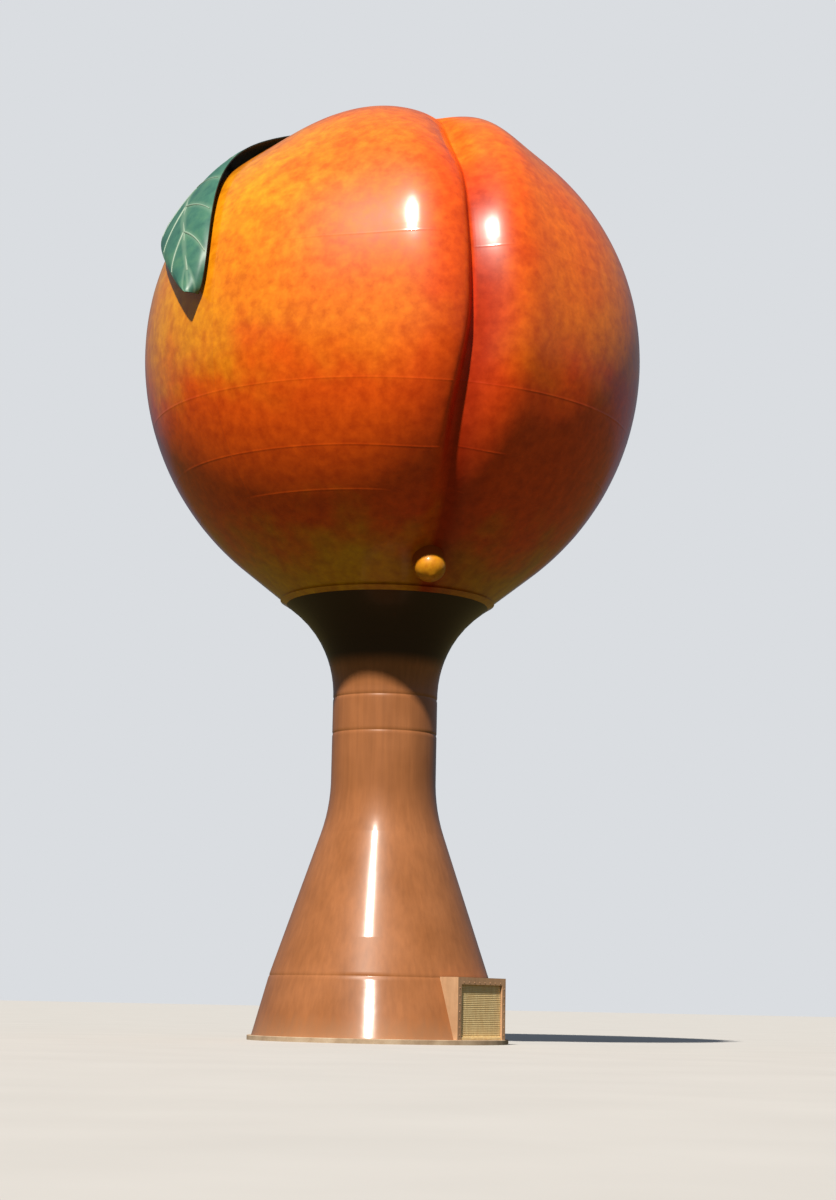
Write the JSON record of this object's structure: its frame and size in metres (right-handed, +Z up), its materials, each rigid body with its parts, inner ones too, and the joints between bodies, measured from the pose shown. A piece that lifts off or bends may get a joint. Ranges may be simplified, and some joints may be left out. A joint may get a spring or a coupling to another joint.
{
  "type": "water tower, 1:2 scale model",
  "caption": "Fruit-shaped welded steel water tank with a cleft, stem and leaf, on one flared steel pedestal with a roller shutter portal at its foot; 1:2 scale model.",
  "frame": {"origin": "on the pedestal's axis, on the underside of the floor slab, where the tower rests", "axes": "+Z up along the pedestal's axis; the tank's cleft faces about -Y and the leaf lies on the -X side"},
  "size_m": [11.0075, 11.2435, 20.5779],
  "materials": {
    "tank_paint": "gloss",
    "tip_paint": "gloss",
    "pedestal_paint": "gloss",
    "portal_paint": "satin",
    "shutter_paint": "satin",
    "leaf_paint": "satin",
    "midrib_paint": "satin",
    "stem_paint": "satin",
    "concrete": "matte"
  },
  "bodies": {
    "root": {"base_curb": "concrete", "floor_slab": "concrete", "base_wall_1": "pedestal_paint", "base_wall_2": "pedestal_paint", "base_wall_3": "pedestal_paint", "base_wall_4": "pedestal_paint", "cone_wall_1": "pedestal_paint", "cone_wall_2": "pedestal_paint", "cone_wall_3": "pedestal_paint", "cone_wall_4": "pedestal_paint", "shaft_lower": "pedestal_paint", "shaft_upper": "pedestal_paint", "flare_lower": "pedestal_paint", "flare_upper": "pedestal_paint", "collar_ring": "tank_paint", "tank_floor": "pedestal_paint", "tank_crown_gore_1": "tank_paint", "tank_crown_gore_2": "tank_paint", "tank_crown_gore_3": "tank_paint", "tank_crown_gore_4": "tank_paint", "tank_crown_gore_5": "tank_paint", "tank_crown_gore_6": "tank_paint", "tank_belt_gore_1": "tank_paint", "tank_belt_gore_2": "tank_paint", "tank_belt_gore_3": "tank_paint", "tank_belt_gore_4": "tank_paint", "tank_belt_gore_5": "tank_paint", "tank_belt_gore_6": "tank_paint", "tank_lower_gore_1": "tank_paint", "tank_lower_gore_2": "tank_paint", "tank_lower_gore_3": "tank_paint", "tank_lower_gore_4": "tank_paint", "tank_lower_gore_5": "tank_paint", "tank_lower_gore_6": "tank_paint", "stem_cavity": "tank_paint", "blossom_tip": "tip_paint", "stem": "stem_paint", "leaf_stalk": "stem_paint", "leaf_blade": "leaf_paint", "leaf_midrib": "midrib_paint", "leaf_bracket_upper": "stem_paint", "leaf_bracket_lower": "stem_paint", "portal_hood": "portal_paint", "portal_frame": "portal_paint", "roller_shutter": "shutter_paint"}
  },
  "joints": []
}
